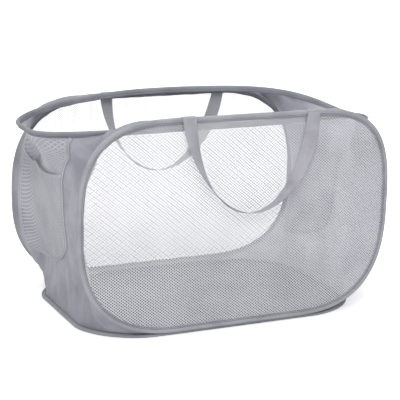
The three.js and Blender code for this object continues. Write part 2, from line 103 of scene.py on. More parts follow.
def aim_camera():
    azimuth, elevation, roll = map(math.radians, camera_angles)
    level = Vector((math.cos(azimuth), -math.sin(azimuth), 0))
    back = Vector((-math.sin(azimuth), -math.cos(azimuth), 0)) * math.cos(elevation)
    back.z = math.sin(elevation)
    steep = back.cross(level)
    right = level * math.cos(roll) + steep * math.sin(roll)
    up = steep * math.cos(roll) - level * math.sin(roll)
    lens = bpy.data.cameras.new("photo_camera")
    camera = add_object("photo_camera", lens)
    turned = Matrix((right, up, back)).transposed().to_4x4()
    camera.matrix_world = Matrix.Translation(camera_target + back * camera_distance) @ turned
    lens.sensor_width = sensor_mm
    lens.lens = photo_focal * sensor_mm / photo_size
    lens.shift_x = (photo_size / 2 - photo_middle[0]) / photo_size
    lens.shift_y = (photo_middle[1] - photo_size / 2) / photo_size
    bpy.context.scene.camera = camera


aim_camera()


# Materials

def linear(hex_colour):
    """An sRGB hex colour as linear RGBA."""
    parts = [int(hex_colour[i:i + 2], 16) / 255 for i in (1, 3, 5)]
    turned = [p / 12.92 if p <= 0.04045 else ((p + 0.055) / 1.055) ** 2.4 for p in parts]
    return (*turned, 1)


def adder(tree):
    """A function that adds a node with its settings and its inputs: values, outputs or nodes."""
    def add(kind, links=None, **settings):
        made = tree.nodes.new(kind)
        for key, value in settings.items():
            setattr(made, key, value)
        for key, value in (links or {}).items():
            value = value.outputs[0] if isinstance(value, bpy.types.Node) else value
            if isinstance(value, bpy.types.NodeSocket):
                tree.links.new(value, made.inputs[key])
            else:
                made.inputs[key].default_value = value
        return made

    return add


def new_material(name):
    material = bpy.data.materials.new(name)
    material.use_nodes = True
    material.node_tree.nodes.clear()
    return material, adder(material.node_tree)


# What every cloth shares: slubs in the yarn, which vary its gloss, and the weave's part in its tint
slub_mm, slub_gloss, weave_tint = 2.5, 0.06, 0.35


def cloth_material(name, colour, shade, thread_mm, depth_mm, rough, sheen, mottle_mm=60, thin=0):
    """Woven cloth, whose threads cross on the piece's own UV map, which is in metres.

    The colour wanders as dyed cloth's does. thin is the share of the light that comes through.
    """
    material, add = new_material(name)
    place = add("ShaderNodeTexCoord").outputs["Object"]
    axes = add("ShaderNodeSeparateXYZ", {0: add("ShaderNodeUVMap")})
    threads = []
    for axis in ("X", "Y"):
        turns = {0: axes.outputs[axis], 1: math.tau / (thread_mm * MM)}
        turns = add("ShaderNodeMath", turns, operation="MULTIPLY")
        threads.append(add("ShaderNodeMath", {0: turns}, operation="SINE"))
    crossed = add("ShaderNodeMath", {0: threads[0], 1: threads[1]}, operation="MULTIPLY")
    weave = add("ShaderNodeMath", {0: crossed, 1: 0.5, 2: 0.5}, operation="MULTIPLY_ADD")
    mottle, slub = (add("ShaderNodeTexNoise", {
        "Vector": place, "Scale": 1 / (span * MM), "Detail": detail, "Roughness": fall})
        for span, detail, fall in ((mottle_mm, 3, 0.55), (slub_mm, 2, 0.5)))
    spread = add("ShaderNodeMapRange", {"Value": mottle, "From Min": 0.35, "From Max": 0.65})
    fine = add("ShaderNodeMath", {0: weave, 1: weave_tint, 2: spread}, operation="MULTIPLY_ADD")
    tint = add("ShaderNodeMix", {"Factor": fine, 6: linear(shade), 7: linear(colour)},
               data_type="RGBA", clamp_factor=True).outputs[2]
    gloss = add("ShaderNodeMapRange", {
        "Value": slub, "To Min": rough - slub_gloss, "To Max": rough + slub_gloss})
    height = add("ShaderNodeMath", {0: weave, 1: 1, 2: slub}, operation="MULTIPLY_ADD")
    bump = add("ShaderNodeBump", {"Height": height, "Strength": 0.6, "Distance": depth_mm * MM})
    shader = add("ShaderNodeBsdfPrincipled", {
        "Base Color": tint, "Roughness": gloss, "Normal": bump, "Sheen Weight": sheen,
        "Sheen Roughness": 0.4, "Specular IOR Level": 0.25})
    if thin:
        glow = add("ShaderNodeBsdfTranslucent", {"Color": tint, "Normal": bump})
        shader = add("ShaderNodeMixShader", {0: thin, 1: shader, 2: glow})
    add("ShaderNodeOutputMaterial", {"Surface": shader})
    return material


# The webbing's threads are spaced as real ones. Finer weaves are drawn coarser, so that they show.

# Polyester binding tape, woven and folded: matt, with a close rib that dulls the light. The mouth
# ring's is darker, painted shade for the shadow it lies in; the pockets' is a narrow pale one.
binding_tape, ring_tape_painted_shade, pocket_tape = (
    cloth_material(f"polyester_{use}_tape", colour, shade, 1.2, 0.12, 0.8, 0.15)
    for use, colour, shade in (("binding", "#b0b1b8", "#9b9ca4"), ("ring", "#9c9da5", "#888991"),
                               ("pocket", "#cfcfd7", "#bdbdc6")))
# Uncoated nylon taffeta, calendered: smooth, with a faint silky sheen, and thin enough to glow.
nylon_taffeta = cloth_material("nylon_taffeta", "#c0c0ca", "#a0a0aa", 1.0, 0.08, 0.45, 0.35,
                               mottle_mm=55, thin=0.35)
# The floor's nylon is doubled, so no light comes through it. Its dark colour is painted shade:
# the shadow that falls inside the hamper.
floor_nylon_painted_shade = cloth_material("doubled_nylon_taffeta_painted_shade", "#70707a", "#5f5f69", 1.0, 0.08, 0.66, 0.2,
                             mottle_mm=90)
# Warp knitted polyester net, white yarn: pale strands that nearly vanish against white.
knitted_net = cloth_material("knitted_polyester_net", "#e4e4ea", "#d8d8df", 0.8, 0.06, 0.75, 0.1)
# The pockets' net is knitted from a fuller yarn, a touch greyer.
pocket_net_cloth = cloth_material("knitted_pocket_net", "#e2e2e9", "#d0d0d8", 0.8, 0.08, 0.7, 0.2)
# Polypropylene webbing, woven flat: close ribs across the strap, slightly glossy yarn.
webbing_cloth = cloth_material("polypropylene_webbing", "#b5b4bc", "#9f9ea7", 1.6, 0.25, 0.6, 0.2,
                               mottle_mm=40)
# Polyester sewing thread, twisted. Its dark colour is partly the thread's and partly painted shade:
# the dark lines of crease and shadow along the seams.
sewing_thread_and_painted_seam_shade = cloth_material("polyester_sewing_thread", "#6f7077", "#5b5c63", 0.6, 0.05, 0.55,
                               0.1)


def metal_material(name, colour, shade, grain_mm, rough):
    """Drawn or rolled metal with fine marks that vary its gloss."""
    material, add = new_material(name)
    place = add("ShaderNodeTexCoord").outputs["Object"]
    grain = add("ShaderNodeTexNoise", {"Vector": place, "Scale": 1 / (grain_mm * MM), "Detail": 4})
    tint = add("ShaderNodeMix", {"Factor": grain, 6: linear(shade), 7: linear(colour)},
               data_type="RGBA").outputs[2]
    gloss = add("ShaderNodeMapRange", {
        "Value": grain, "To Min": rough - 0.08, "To Max": rough + 0.1})
    bump = add("ShaderNodeBump", {"Height": grain, "Strength": 0.3, "Distance": 0.05 * MM})
    metal = add("ShaderNodeBsdfPrincipled", {
        "Base Color": tint, "Roughness": gloss, "Normal": bump, "Metallic": 1.0})
    add("ShaderNodeOutputMaterial", {"Surface": metal})
    return material


# Oil tempered spring steel, drawn: grey with a blue tinge and fine marks along it.
spring_steel = metal_material("spring_steel_wire", "#9a9ca0", "#7c8087", 0.8, 0.35)
# Zinc plated steel sleeve, crimped: paler and a little rougher than the wire.
plated_steel = metal_material("zinc_plated_sleeve", "#b4b7ba", "#9ea1a5", 1.5, 0.42)


# Small helpers on arrays of points and values

def table(*columns):
    return np.stack(np.broadcast_arrays(*columns), axis=-1)


def unit(vectors):
    return vectors / np.linalg.norm(vectors, axis=-1, keepdims=True)


def run_length(points):
    """How far along a line each of its points lies."""
    return np.r_[0, np.cumsum(np.linalg.norm(np.diff(points, axis=0), axis=1))]


def resample(points, count, closed=False):
    """Points spaced evenly along a line, count of them or, on an open one, count + 1."""
    if closed:
        points = np.vstack([points, points[:1]])
    length = run_length(points)
    wanted = np.linspace(0, length[-1], count + 1)[:count if closed else None]
    return table(*(np.interp(wanted, length, column) for column in points.T))


def eased(share):
    """From 0 to 1 with a soft start and end."""
    share = np.clip(share, 0, 1)
    return share * share * (3 - 2 * share)


def crease(value, middle, width):
    """A soft ridge across a value."""
    return np.exp(-((value - middle) / width) ** 2)


def smooth_curve(values, steps=120, window=27):
    """A smooth line through evenly spaced values, as a function of a share of its length."""
    stops = np.linspace(0, 1, steps + 1)
    line = np.interp(stops, np.linspace(0, 1, len(values)), values)
    weights = np.hanning(window) / np.hanning(window).sum()
    padded = np.pad(line, window // 2, mode="reflect", reflect_type="odd")
    smooth = np.convolve(padded, weights, "valid")
    return lambda share: np.interp(share, stops, smooth)


def waves(length, span, seed, octaves=3):
    """Smooth random numbers from -1 to 1 round a closed line, with features about span long."""
    source = np.random.default_rng(seed)
    t = np.linspace(0, math.tau, len(length), endpoint=False)
    total = np.zeros(len(length))
    base = max(2, round(length[-1] / span))
    for octave in range(octaves):
        for extra in (0, 1, 3):
            turns = base * 2 ** octave + extra
            total += np.sin(turns * t + source.uniform(0, math.tau)) / 2 ** octave
    return total / np.abs(total).max()


# Outlines: rounded rectangles with superelliptic corners, counter clockwise

corner_steps, loop_steps, same_point = 240, 420, 1e-6
square = np.array([(-1, -1), (1, -1), (1, 1), (-1, 1)])


def loop_outline(half_length, half_width, length_share, width_share, power, upper_power):
    def corner(roundness):
        angle = np.linspace(0, math.pi / 2, corner_steps + 1)
        arc = np.maximum(table(np.cos(angle), np.sin(angle)), 0) ** (2 / roundness)
        return (half_length, half_width) * (1 + (length_share, width_share) * (arc - 1))

    points = np.vstack([(corner(roundness) * (x, y))[::x * y] for x, y, roundness in (
        (1, 1, upper_power), (-1, 1, upper_power), (-1, -1, power), (1, -1, power))])
    keep = np.linalg.norm(np.diff(points, axis=0, append=points[:1]), axis=1) > same_point
    return resample(points[keep], loop_steps, closed=True)


def offset(points, distance):
    """A closed outline moved outwards by a distance or a column of them."""
    along = unit(np.roll(points, -1, axis=0) - np.roll(points, 1, axis=0))
    return points + along[:, ::-1] * (1, -1) * distance


# Sheets: where a loop's flat plane lies in space, and its normal there

class Sheet:
    def __init__(self, *loop):
        self.outline = loop_outline(*loop)

    def frames(self):
        """Each point, and the ways out of the loop, across the sheet and along."""
        point = self.place(self.outline)
        along = unit(np.roll(point, -1, axis=0) - np.roll(point, 1, axis=0))
        across = self.normal(self.outline)
        across = unit(across - along * np.sum(across * along, axis=1)[:, None])
        return point, np.cross(along, across), across, along


class HoopSheet(Sheet):
    """A standing hoop, its ends bowed inwards."""

    def __init__(self, side, bow, top, upper_power):
        self.side, self.bow, self.top = side, bow, top
        self.middle = (top + foot_level) / 2
        self.corner = hoop_half_length * hoop_corner_share
        half_height = (top - foot_level) / 2 - tape_reach
        super().__init__(hoop_half_length, half_height, hoop_corner_share, 1, hoop_corner_power,
                         upper_power)

    def bend(self, x):
        return np.maximum(np.abs(x) - hoop_half_length + self.corner, 0) / self.corner

    def place(self, flat):
        x, height = flat.T
        y = self.side * (hoop_spacing / 2 - self.bow * self.bend(x) ** 2)
        return table(x, y, self.middle + height)

    def normal(self, flat):
        x = flat[:, 0]
        slope = -self.side * np.sign(x) * 2 * self.bow * self.bend(x) / self.corner
        return unit(table(slope, -1, 0))


class RingSheet(Sheet):
    """The mouth: its ends droop, and the legs of its tape hang down inside it."""

    def droop(self, x):
        """Each point's sag, the sag's power and how far out it lies."""
        sag, power = (np.where(x > 0, pair[1], pair[0]) for pair in (ring_sags, ring_sag_powers))
        return sag, power, np.abs(x / ring_half_length)

    def place(self, flat):
        x, y = flat.T
        sag, power, share = self.droop(x)
        drawn = np.where(x > 0, ring_draw_in * share ** power, 0)
        return table(x - drawn, y, ring_height - sag * share ** power)

    def normal(self, flat):
        x = flat[:, 0]
        sag, power, share = self.droop(x)
        slope = np.sign(x) * sag * power * share ** (power - 1) / ring_half_length
        return unit(table(slope, 0, 1))

    def frames(self):
        point, out, across, along = super().frames()
        sine, cosine = math.sin(ring_tape_tilt), math.cos(ring_tape_tilt)
        return point, out * cosine + across * sine, across * cosine - out * sine, along


class BaseSheet(Sheet):
    """The bottom ring, flat on the floor."""

    def place(self, flat):
        return table(*flat.T, tape_reach)

    def normal(self, flat):
        return np.tile([0.0, 0.0, 1.0], (len(flat), 1))


front_sheet = HoopSheet(-1, front_bow, front_hoop_top, front_top_corner_power)
back_sheet = HoopSheet(1, back_bow, back_hoop_top, hoop_corner_power)
ring_sheet = RingSheet(ring_half_length, ring_half_width, ring_length_share, ring_width_share,
                       ring_corner_power, ring_corner_power)
base_sheet = BaseSheet(base_half_length, ring_half_width, base_length_share, base_width_share,
                       base_corner_power, base_corner_power)


# Meshes

def read(items, key, width, kind=float):
    """A property of a mesh's points, corners or triangles, a row for each."""
    values = np.empty(len(items) * width, dtype=kind)
    items.foreach_get(key, values)
    return values.reshape(-1, width)


def write_uv(mesh, uv):
    layer = mesh.uv_layers.get("cloth") or mesh.uv_layers.new(name="cloth")
    layer.data.foreach_set("uv", np.asarray(uv, dtype=np.float32).ravel())


def smooth_faces(mesh):
    mesh.polygons.foreach_set("use_smooth", np.full(len(mesh.polygons), True))


def mesh_area(made):
    return sum(face.area for face in made.data.polygons)


def mesh_object(name, points, faces, material, uv=None):
    """An object at the origin from points in millimetres."""
    mesh = bpy.data.meshes.new(name)
    mesh.from_pydata((np.asarray(points) * MM).tolist(), [], faces)
    if uv is not None:
        write_uv(mesh, uv)
    smooth_faces(mesh)
    mesh.materials.append(material)
    mesh.update()
    return add_object(name, mesh)


def face_outward(mesh):
    """Turns a closed mesh right side out."""
    points = read(mesh.vertices, "co", 3)
    mesh.calc_loop_triangles()
    a, b, c = points[read(mesh.loop_triangles, "vertices", 3, int)].transpose(1, 0, 2)
    if np.sum(a * np.cross(b, c)) < 0:
        mesh.flip_normals()


def band_mesh(name, grid, material, form="film"):
    """A mesh over a grid. A strap's and a loop's columns go round, and a loop's rows meet."""
    rows, columns = grid.shape[:2]
    across = np.linalg.norm(np.diff(grid, axis=1, append=grid[:, :1]), axis=2).mean(axis=0)
    along = np.linalg.norm(np.diff(grid, axis=0, append=grid[:1]), axis=2).mean(axis=1)
    u = np.r_[0, np.cumsum(along)] * MM
    v = np.r_[0, np.cumsum(across)] * MM
    faces, uv = [], []
    for j in range(rows - (form != "loop")):
        for i in range(columns - (form == "film")):
            j1, i1 = (j + 1) % rows, (i + 1) % columns
            faces.append((j * columns + i, j * columns + i1, j1 * columns + i1, j1 * columns + i))
            uv += [(u[j], v[i]), (u[j], v[i + 1]), (u[j + 1], v[i + 1]), (u[j + 1], v[i])]
    if form == "strap":
        last = (rows - 1) * columns
        faces += [tuple(range(columns))[::-1], tuple(range(last, last + columns))]
        uv += [(0, 0)] * (2 * columns)
    made = mesh_object(name, grid.reshape(-1, 3), faces, material, uv)
    if form != "film":
        face_outward(made.data)
    return made


def swept_mesh(name, frames, section, material, form="strap"):
    """A section, the same or one for each point, carried along points with two ways across."""
    point, out, across = (v[:, None] for v in frames[:3])
    u, v = (value[..., None] for value in section)
    return band_mesh(name, point + out * u + across * v, material, form)


# Bindings: a tape folded round the wire, its two legs sewn together over the cloth's edge

leg_tip = tape_reach - tape_width
stitch_rows, stitch_height = (-4.9, -7.3), 1.7
edge_wander, edge_span = 0.55, 60
# Height, span and octaves of the pucker between the stitches, and where on the leg it lies
tape_puckers, pucker_middle, pucker_reach = ((0.16, 9, 1), (0.12, 26, 2)), -6, 2.4
# The folded tape's outer face, place out from the wire and height: it dips at each row of stitches
tape_face = [(leg_tip, 1.15), (leg_tip + 0.25, 1.6), (-8.0, 1.95), (-7.3, 1.6), (-6.6, 2.0),
             (-5.6, 2.0), (-4.9, 1.62), (-4.1, 2.1), (-3.0, 2.5), (-1.6, 2.85)]
tape_lining = [(leg_tip + 0.1, 0.75), (-7.0, 0.75), (-4.0, 0.9), (-2.6, 1.4), (-1.4, 1.95)]
nose_start, nose_steps = 110, 7


def binding_mesh(name, sheet, material, seed):
    nose = np.radians(np.linspace(nose_start, 0, nose_steps + 1))
    outer, inner = (np.array(half + [(reach * math.cos(a), reach * math.sin(a)) for a in nose])
                    for half, reach in ((tape_face, tape_reach), (tape_lining, channel_reach)))
    flip = np.array([1, -1])
    section = np.vstack([outer, (outer * flip)[-2::-1], inner * flip, inner[-2::-1]])
    is_outer = np.r_[np.ones(2 * len(outer) - 1), np.zeros(2 * len(inner) - 1)]
    frames = sheet.frames()
    length = run_length(frames[0])
    edge = edge_wander * waves(length, edge_span, seed)
    pucker = sum(height * waves(length, span, seed + step, octaves)
                 for step, (height, span, octaves) in enumerate(tape_puckers, 1))
    leg = np.clip(section[:, 0] / leg_tip, 0, 1)
    slack = crease(section[:, 0], pucker_middle, pucker_reach) * is_outer * np.sign(section[:, 1])
    u = section[:, 0] + edge[:, None] * leg ** 2
    v = section[:, 1] + pucker[:, None] * slack
    return swept_mesh(name, frames, (u, v), material, "loop")


# Geometry Nodes

def group_tree(name, inputs):
    """A tree with named inputs, its adder, what it is given and the inputs' identifiers."""
    tree = bpy.data.node_groups.new(name, "GeometryNodeTree")
    sockets = {}
    for label, kind in {"Geometry": "Geometry", **inputs}.items():
        socket = tree.interface.new_socket(label, in_out="INPUT", socket_type=f"NodeSocket{kind}")
        sockets[label] = socket.identifier
    tree.interface.new_socket("Geometry", in_out="OUTPUT", socket_type="NodeSocketGeometry")
    add = adder(tree)
    return tree, add, add("NodeGroupInput").outputs, sockets


def end_tree(add, given, geometry):
    realized = add("GeometryNodeRealizeInstances", {"Geometry": geometry})
    painted = {"Geometry": realized, "Material": given["Material"]}
    add("NodeGroupOutput", {"Geometry": add("GeometryNodeSetMaterial", painted)})


def grow(name, source, grower, values):
    """Runs a tree on an object and keeps the result as its plain mesh."""
    tree, sockets = grower
    modifier = source.modifiers.new(name, "NODES")
    modifier.node_group = tree
    for label, value in values.items():
        modifier[sockets[label]] = value
    bpy.context.view_layer.update()
    evaluated = source.evaluated_get(bpy.context.evaluated_depsgraph_get())
    mesh = bpy.data.meshes.new_from_object(evaluated)
    source.modifiers.remove(modifier)
    old, source.data = source.data, mesh
    bpy.data.meshes.remove(old)
    mesh.name = name
    return source


def stitch_tree():
    """Beads of thread along a line."""
    tree, add, given, sockets = group_tree("stitch_row", {
        "Stitch Pitch": "Float", "Stitch Length": "Float", "Thread Width": "Float",
        "Material": "Material"})
    curve = add("GeometryNodeMeshToCurve", {"Mesh": given["Geometry"]})
    spaced = add("GeometryNodeResampleCurve", {"Curve": curve, "Length": given["Stitch Pitch"]},
                 mode="LENGTH")
    tangent = add("GeometryNodeInputTangent")
    turned = add("FunctionNodeAlignRotationToVector", {"Vector": tangent}, axis="X")
    length, width = given["Stitch Length"], given["Thread Width"]
    size = add("ShaderNodeCombineXYZ", {"X": length, "Y": width, "Z": width})
    bead = add("GeometryNodeMeshUVSphere", {"Segments": 6, "Rings": 4, "Radius": 0.5})
    lying = add("GeometryNodeTransform", {"Geometry": bead, "Rotation": (0, math.pi / 2, 0)})
    end_tree(add, given, add("GeometryNodeInstanceOnPoints", {
        "Points": spaced, "Instance": lying, "Rotation": turned, "Scale": size}))
    return tree, sockets


stitches_of = stitch_tree()


# Thick, nearly unbroken stitches by default: the tapes' rows are thread and painted crease shade.
def sew(name, lines, closed=False, pitch=4.6, length=4.2, width=1.4):
    """Stitches along lines of points in millimetres."""
    points, edges = [], []
    for line in lines:
        first = len(points)
        points += (np.asarray(line) * MM).tolist()
        edges += [(first + i, first + i + 1) for i in range(len(line) - 1)]
        if closed:
            edges.append((len(points) - 1, first))
    mesh = bpy.data.meshes.new(name)
    mesh.from_pydata(points, edges, [])
    made = grow(name, add_object(name, mesh), stitches_of, {
        "Stitch Pitch": pitch * MM, "Stitch Length": length * MM,
        "Thread Width": width * MM, "Material": sewing_thread_and_painted_seam_shade,
    })
    smooth_faces(made.data)
    if not made.data.uv_layers:
        made.data.uv_layers.new(name="cloth")
    return made


def binding_stitches(name, sheet):
    point, out, across, _ = sheet.frames()
    rows = [point + out * row + across * side * stitch_height
            for row in stitch_rows for side in (-1, 1)]
    return sew(name, rows, closed=True)


def net_tree():
    """A grid of diamonds with openings, trimmed to a flat panel."""
    tree, add, given, sockets = group_tree("diamond_net", {
        "Cells Across": "Int", "Cells Up": "Int", "Cell Side": "Float", "Stretch": "Vector",
        "Opening Share": "Float", "Material": "Material"})
    size = {}
    for axis, label in (("X", "Cells Across"), ("Y", "Cells Up")):
        span = {0: given[label], 1: given["Cell Side"]}
        size[f"Size {axis}"] = add("ShaderNodeMath", span, operation="MULTIPLY")
        corners = {0: given[label], 1: 1.0}
        size[f"Vertices {axis}"] = add("ShaderNodeMath", corners, operation="ADD")
    cells = add("GeometryNodeMeshGrid", size)
    turned = add("GeometryNodeTransform", {"Geometry": cells, "Rotation": (0, 0, math.pi / 4)})
    stretched = add("GeometryNodeTransform", {"Geometry": turned, "Scale": given["Stretch"]})
    place = add("GeometryNodeInputPosition")
    below = add("ShaderNodeVectorMath", {0: place, 1: (0, 0, -0.1)}, operation="ADD")
    over = add("GeometryNodeRaycast", {
        "Target Geometry": given["Geometry"], "Source Position": below,
        "Ray Direction": (0, 0, 1), "Ray Length": 1.0})
    off_panel = add("FunctionNodeBooleanMath", {0: over}, operation="NOT")
    trimmed = add("GeometryNodeDeleteGeometry", {"Geometry": stretched, "Selection": off_panel},
                  domain="FACE")
    framed = add("GeometryNodeExtrudeMesh", {
        "Mesh": trimmed, "Offset Scale": 0.0, "Individual": True}, mode="FACES")
    middles = framed.outputs["Top"]
    opened = add("GeometryNodeScaleElements", {
        "Geometry": framed, "Selection": middles, "Scale": given["Opening Share"]}, domain="FACE")
    end_tree(add, given, add("GeometryNodeDeleteGeometry", {
        "Geometry": opened, "Selection": middles}, domain="FACE"))
    return tree, sockets


nets_of = net_tree()
spare_cells = 2


def flat_net(name, outline, wide, high, opening, material):
    """A flat net of diamonds wide by high, cut to an outline about the origin."""
    source = mesh_object(name, table(*outline.T, 0), [range(len(outline))], material)
    side = wide / math.sqrt(2)
    span_x, span_y = np.ptp(outline, axis=0)
    count = int(math.ceil((span_x + span_y * wide / high) / math.sqrt(2) / side)) + spare_cells
    return grow(name, source, nets_of, {
        "Cells Across": count, "Cells Up": count, "Cell Side": side * MM,
        "Stretch": (1, high / wide, 1), "Opening Share": opening, "Material": material,
    })


def lay_on(made, place):
    """Moves a flat piece's points onto the sheet on which they are places."""
    mesh = made.data
    flat = read(mesh.vertices, "co", 3)[:, :2] / MM
    mesh.vertices.foreach_set("co", (place(flat) * MM).ravel())
    write_uv(mesh, flat[read(mesh.loops, "vertex_index", 1, int)[:, 0]] * MM)
    smooth_faces(mesh)
    mesh.update()


# Nets, a little slack. The back one is finer, so that the two make no broad moire patches. Each
# has the size of its diamonds and the open share of their side.

net_wide, net_high, net_edge = 6.2, 5.1, -2.2
net_sizes = {"front": (1.0, 0.66), "back": (0.76, 0.77)}
slack_waves, slack_pulls, slack_height, slack_wander, wander_pull = 7, (0.02, 0.03), 0.55, 0.9, 1.6


def net_panel(name, sheet, size, opening, seed):
    outline = offset(sheet.outline, net_edge)
    made = flat_net(name, outline, net_wide * size, net_high * size, opening, knitted_net)
    box = np.abs(sheet.outline).max(axis=0)

    def place(flat):
        share = np.clip(1 - (np.abs(flat) / box) ** 2, 0, 1).prod(axis=1)
        source = np.random.default_rng(seed)
        slack, wander = np.zeros(len(flat)), np.zeros_like(flat)
        for _ in range(slack_waves):
            pull, start = source.uniform(-1, 1, 2) * slack_pulls, source.uniform(0, math.tau)
            slack += np.sin(flat @ pull + start)
            wave = np.sin(flat @ pull[::-1] * wander_pull + start)
            wander += slack_wander * wave[:, None] * source.uniform(-1, 1, 2)
        lift = (slack_height * slack * np.sqrt(share))[:, None]
        return sheet.place(flat + wander * share[:, None]) + sheet.normal(flat) * lift

    lay_on(made, place)
    return made, outline


# Floor panel: taut nylon, which runs up over the ring's tape where the hoops are sewn to it.
# Reaches go out from the ring's wire.

floor_inset, floor_brim, slot_depth = -40, 3.1, -3
sewn_half_length, sewn_fade = 225, 45
floor_rise_reaches, floor_rises = (-18, -10, -2, floor_brim), (0, 2.3, 3.4, 4.8)
floor_edge_reaches = (floor_inset, -30, -24, -18, -15, -12, -10, -7, -4, -2, 0, 1.6, floor_brim)
floor_rings, floor_seed = 32, 11
ripple_height, ripple_pulls, ripple_counts = 0.35, (0.03, 0.05), (9, (5, 8, 13))
ripple_margin, ripple_fade = 16, 30
floor_seam_reach, floor_seam_height = -9, 1.0


def floor_edge(reach):
    """The loop at a reach, and its height."""
    flat = base_sheet.outline
    sewn = eased((sewn_half_length - np.abs(flat[:, 0])) / sewn_fade)
    slot = np.interp(reach, (floor_inset, floor_brim), (floor_inset, slot_depth))
    height = tape_reach + sewn * np.interp(reach, floor_rise_reaches, floor_rises)
    return offset(flat, (slot + (reach - slot) * sewn)[:, None]), height


def floor_mesh(name):
    inside = floor_edge(floor_inset)[0]
    count = len(inside)
    loops = [(inside * share, np.full(count, tape_reach))
             for share in np.linspace(0, 1, floor_rings + 2)[1:-1]]
    loops += [floor_edge(reach) for reach in floor_edge_reaches]
    points = np.vstack([np.zeros((1, 2))] + [loop for loop, _ in loops])
    level = np.r_[tape_reach, np.concatenate([height for _, height in loops])]
    half = base_half_length, ring_half_width
    share = points / half
    radius, angle = np.linalg.norm(share, axis=1), np.arctan2(share[:, 1], share[:, 0])
    source = np.random.default_rng(floor_seed)
    height = np.zeros(len(points))
    straight, round_about = ripple_counts
    for _ in range(straight):
        pull = source.uniform(-1, 1, 2) * ripple_pulls
        height += ripple_height * np.sin(points @ pull + source.uniform(0, math.tau))
    for k in round_about:
        height += ripple_height * np.sin(k * angle + source.uniform(0, math.tau)) * radius ** 2
    edge = (half - np.abs(points)).min(axis=1)
    z = level + height * np.clip((edge - ripple_margin) / ripple_fade, 0, 1)
    faces = [(0, 1 + i, 1 + (i + 1) % count) for i in range(count)]
    for first in range(1, len(points) - count, count):
        second = first + count
        for i in range(count):
            n = (i + 1) % count
            faces.append((first + i, second + i, second + n, first + n))
    uv = [points[k] * MM for face in faces for k in face]
    return mesh_object(name, table(*points.T, z), faces, floor_nylon_painted_shade, uv)


# End panels: a film drawn tight between the two hoops, the top ring and the bottom ring

panel_columns, panel_rows, coarse_step, relax_passes = 112, 96, 8, 500
seam_reach = -5
corner_hold, left_back_hold, corner_fade = 0.5, 0.57, 0.33


def panel_edges(half):
    """The film's edges along the ring, the base, the front hoop and the back one."""
    gap = tape_reach + seam_gap + panel_thickness / 2

    def run(sheet, out_reach, across_reach, key, reverse=False):
        point, out, across, _ = (v * (half, 1, 1) for v in sheet.frames())
        upper = point[:, 2] > ring_height / 2
        keep = point[:, 0] > np.where(upper, top_cusp_reach, base_cusp_reach)
        start = int(np.argmax(keep & ~np.roll(keep, 1)))
        line = np.roll(point + out * out_reach + across * across_reach, -start, axis=0)[:keep.sum()]
        return line[::-1] if (line[0, key] > line[-1, key]) != reverse else line

    return (run(ring_sheet, seam_reach, 0, 1), run(base_sheet, seam_reach, gap, 1),
            run(front_sheet, 0, -gap, 2, reverse=True), run(back_sheet, 0, gap, 2, reverse=True))


def finer(grid, axis):
    """A grid with one more row or column in each gap."""
    grid = np.moveaxis(grid, axis, 0)
    wide = np.repeat(grid, 2, axis=0)[:-1].copy()
    wide[1::2] = (grid[:-1] + grid[1:]) / 2
    return np.moveaxis(wide, 0, axis)


def panel_grid(half):
    """The film, placed as on the right and relaxed: rows go up and columns front to back."""
    ring, base, front, back = edges = panel_edges(half)
    for level, upright, i, j in ((ring, front, 0, 0), (ring, back, -1, 0), (base, front, 0, -1),
                                 (base, back, -1, -1)):
        level[i] = upright[j] = (level[i] + upright[j]) / 2
    counts = panel_columns, panel_columns, panel_rows, panel_rows
    top, bottom, near, far = (resample(np.delete(line, (1, -2), axis=0), count)
                              for line, count in zip(edges, counts))
    near, far = near[::-1], far[::-1]
    step = coarse_step
    share = np.linspace(0, 1, panel_columns // step + 1)[None, :, None]
    grid = near[::step, None] * (1 - share) + far[::step, None] * share
    while True:
        grid[0], grid[-1] = bottom[::step], top[::step]
        grid[:, 0], grid[:, -1] = near[::step], far[::step]
        for _ in range(relax_passes):
            grid[1:-1, 1:-1] = (grid[:-2, 1:-1] + grid[2:, 1:-1]
                                + grid[1:-1, :-2] + grid[1:-1, 2:]) / 4
        if step == 1:
            return taut_corners(grid, corner_hold if half > 0 else left_back_hold)
        step //= 2
        grid = finer(finer(grid, 1), 0)


def grid_normals(grid):
    return unit(np.cross(np.gradient(grid, axis=1), np.gradient(grid, axis=0)))


def grid_shares(grid):
    """How far up and across each point of a grid lies."""
    rows, columns = grid.shape[:2]
    return np.meshgrid(np.linspace(0, 1, rows), np.linspace(0, 1, columns), indexing="ij")


def sample(grid, across, rise):
    """Points on a grid at shares of its width and height."""
    x = np.clip(across, 0, 1) * (grid.shape[1] - 1)
    y = np.clip(rise, 0, 1) * (grid.shape[0] - 1)
    i = np.minimum(x.astype(int), grid.shape[1] - 2)
    j = np.minimum(y.astype(int), grid.shape[0] - 2)
    s, t = (x - i)[..., None], (y - j)[..., None]
    low = grid[j, i] * (1 - s) + grid[j, i + 1] * s
    high = grid[j + 1, i] * (1 - s) + grid[j + 1, i + 1] * s
    return low * (1 - t) + high * t


def taut_corners(grid, top_back):
    """Draws the cloth straight from edge to edge where two of them meet in a corner."""
    rise, across = grid_shares(grid)
    taut = grid.copy()
    for top, back in np.ndindex(2, 2):
        up_in, side_in = np.abs(top - rise), np.abs(back - across)
        reach = up_in + side_in
        level_edge = sample(grid, np.abs(back - reach), top)
        side_edge = sample(grid, back, np.abs(top - reach))
        share = (up_in / np.maximum(reach, same_point))[..., None]
        far = top_back if top and back else corner_hold
        hold = eased((far - reach) / corner_fade)[..., None]
        taut = taut * (1 - hold) + (level_edge * (1 - share) + side_edge * share) * hold
    return taut


# Creases that fan up the nylon: place from the middle, width, height
panel_creases = ((-0.4, 0.012, 1.6), (-0.33, 0.02, -2.2), (-0.25, 0.014, 2.0), (-0.16, 0.02, -2.0),
                 (-0.07, 0.013, 2.1), (0.02, 0.022, -1.6), (0.1, 0.014, 1.9), (0.19, 0.02, -2.0),
                 (0.27, 0.014, 1.9), (0.36, 0.02, -1.8))
# Short puckers along the hoops' seams: place and height
seam_puckers, pucker_width = ((0.05, 1.7), (0.95, 1.5)), 0.06
